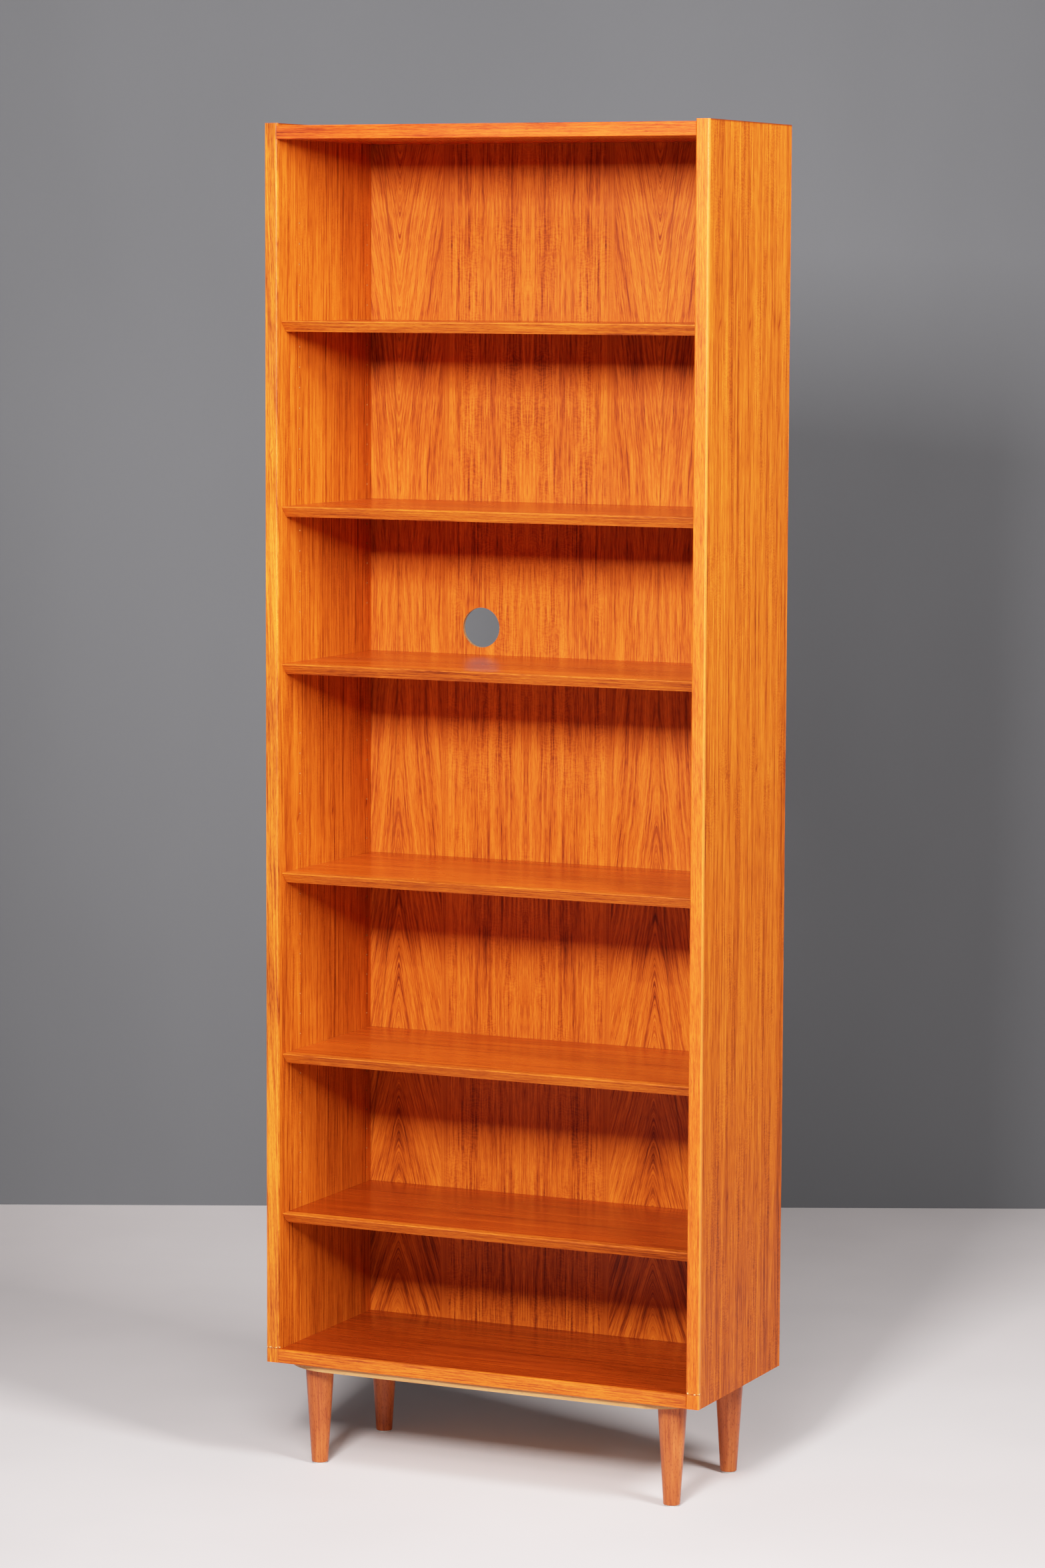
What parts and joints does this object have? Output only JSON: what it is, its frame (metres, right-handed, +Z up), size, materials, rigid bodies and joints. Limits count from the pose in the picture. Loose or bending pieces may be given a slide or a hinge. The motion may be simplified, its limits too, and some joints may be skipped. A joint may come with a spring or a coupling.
{
  "type": "bookcase with adjustable shelves",
  "caption": "Tall narrow open-fronted teak bookcase on tapered turned legs, with a fixed middle shelf, loose shelves on hidden wires and a cable hole in the back.",
  "frame": {"origin": "on the floor, under the middle of the bookcase's outer box", "axes": "+Z up, +X to the right seen from the front, front towards -Y"},
  "size_m": [0.698, 0.3104, 1.9874],
  "materials": {
    "teak_side_veneer": "satin lacquered teak veneer, straight vertical ribbon grain",
    "teak_back_veneer": "satin lacquered teak veneer, vertical leaves with cathedral figure",
    "teak_board_veneer": "satin lacquered teak veneer, grain along the width",
    "solid_teak": "satin solid teak edging",
    "pale_beech": "matt unstained beech",
    "stained_beech": "satin red-brown stained beech",
    "beech_dowel": "raw beech",
    "shelf_wire_steel": "bright drawn wire",
    "fastener_steel": "zinc plated",
    "glide_plastic": "pale grey nylon"
  },
  "bodies": {
    "carcass": {"back_panel": "teak_back_veneer", "back_panel_screws": "fastener_steel", "base_plate": "pale_beech", "base_plate_screws": "fastener_steel", "bottom_dowels": "beech_dowel", "bottom_lipping": "solid_teak", "bottom_panel": "teak_board_veneer", "fixed_shelf": "teak_board_veneer", "fixed_shelf_dowels": "beech_dowel", "fixed_shelf_lipping": "solid_teak", "front_left_glide": "glide_plastic", "front_left_leg": "stained_beech", "front_right_glide": "glide_plastic", "front_right_leg": "stained_beech", "left_foot_lipping": "solid_teak", "left_side_lipping": "solid_teak", "left_side_panel": "teak_side_veneer", "leg_bolts": "fastener_steel", "leg_nuts": "fastener_steel", "rear_left_glide": "glide_plastic", "rear_left_leg": "stained_beech", "rear_right_glide": "glide_plastic", "rear_right_leg": "stained_beech", "right_foot_lipping": "solid_teak", "right_side_lipping": "solid_teak", "right_side_panel": "teak_side_veneer", "shelf_1_left_wire": "shelf_wire_steel", "shelf_1_right_wire": "shelf_wire_steel", "shelf_2_left_wire": "shelf_wire_steel", "shelf_2_right_wire": "shelf_wire_steel", "shelf_3_left_wire": "shelf_wire_steel", "shelf_3_right_wire": "shelf_wire_steel", "shelf_4_left_wire": "shelf_wire_steel", "shelf_4_right_wire": "shelf_wire_steel", "shelf_5_left_wire": "shelf_wire_steel", "shelf_5_right_wire": "shelf_wire_steel", "top_dowels": "beech_dowel", "top_lipping": "solid_teak", "top_panel": "teak_board_veneer"},
    "loose_shelf_1": {"shelf_1": "teak_board_veneer", "shelf_1_lipping": "solid_teak"},
    "loose_shelf_2": {"shelf_2": "teak_board_veneer", "shelf_2_lipping": "solid_teak"},
    "loose_shelf_3": {"shelf_3": "teak_board_veneer", "shelf_3_lipping": "solid_teak"},
    "loose_shelf_4": {"shelf_4": "teak_board_veneer", "shelf_4_lipping": "solid_teak"},
    "loose_shelf_5": {"shelf_5": "teak_board_veneer", "shelf_5_lipping": "solid_teak"}
  },
  "joints": [
    {"name": "shelf_1_pull", "type": "slide", "parent": "carcass", "child": "loose_shelf_1", "axis": [0, -1, 0], "range_m": [0, 0.23]},
    {"name": "shelf_2_pull", "type": "slide", "parent": "carcass", "child": "loose_shelf_2", "axis": [0, -1, 0], "range_m": [0, 0.23]},
    {"name": "shelf_3_pull", "type": "slide", "parent": "carcass", "child": "loose_shelf_3", "axis": [0, -1, 0], "range_m": [0, 0.23]},
    {"name": "shelf_4_pull", "type": "slide", "parent": "carcass", "child": "loose_shelf_4", "axis": [0, -1, 0], "range_m": [0, 0.23]},
    {"name": "shelf_5_pull", "type": "slide", "parent": "carcass", "child": "loose_shelf_5", "axis": [0, -1, 0], "range_m": [0, 0.23]}
  ]
}
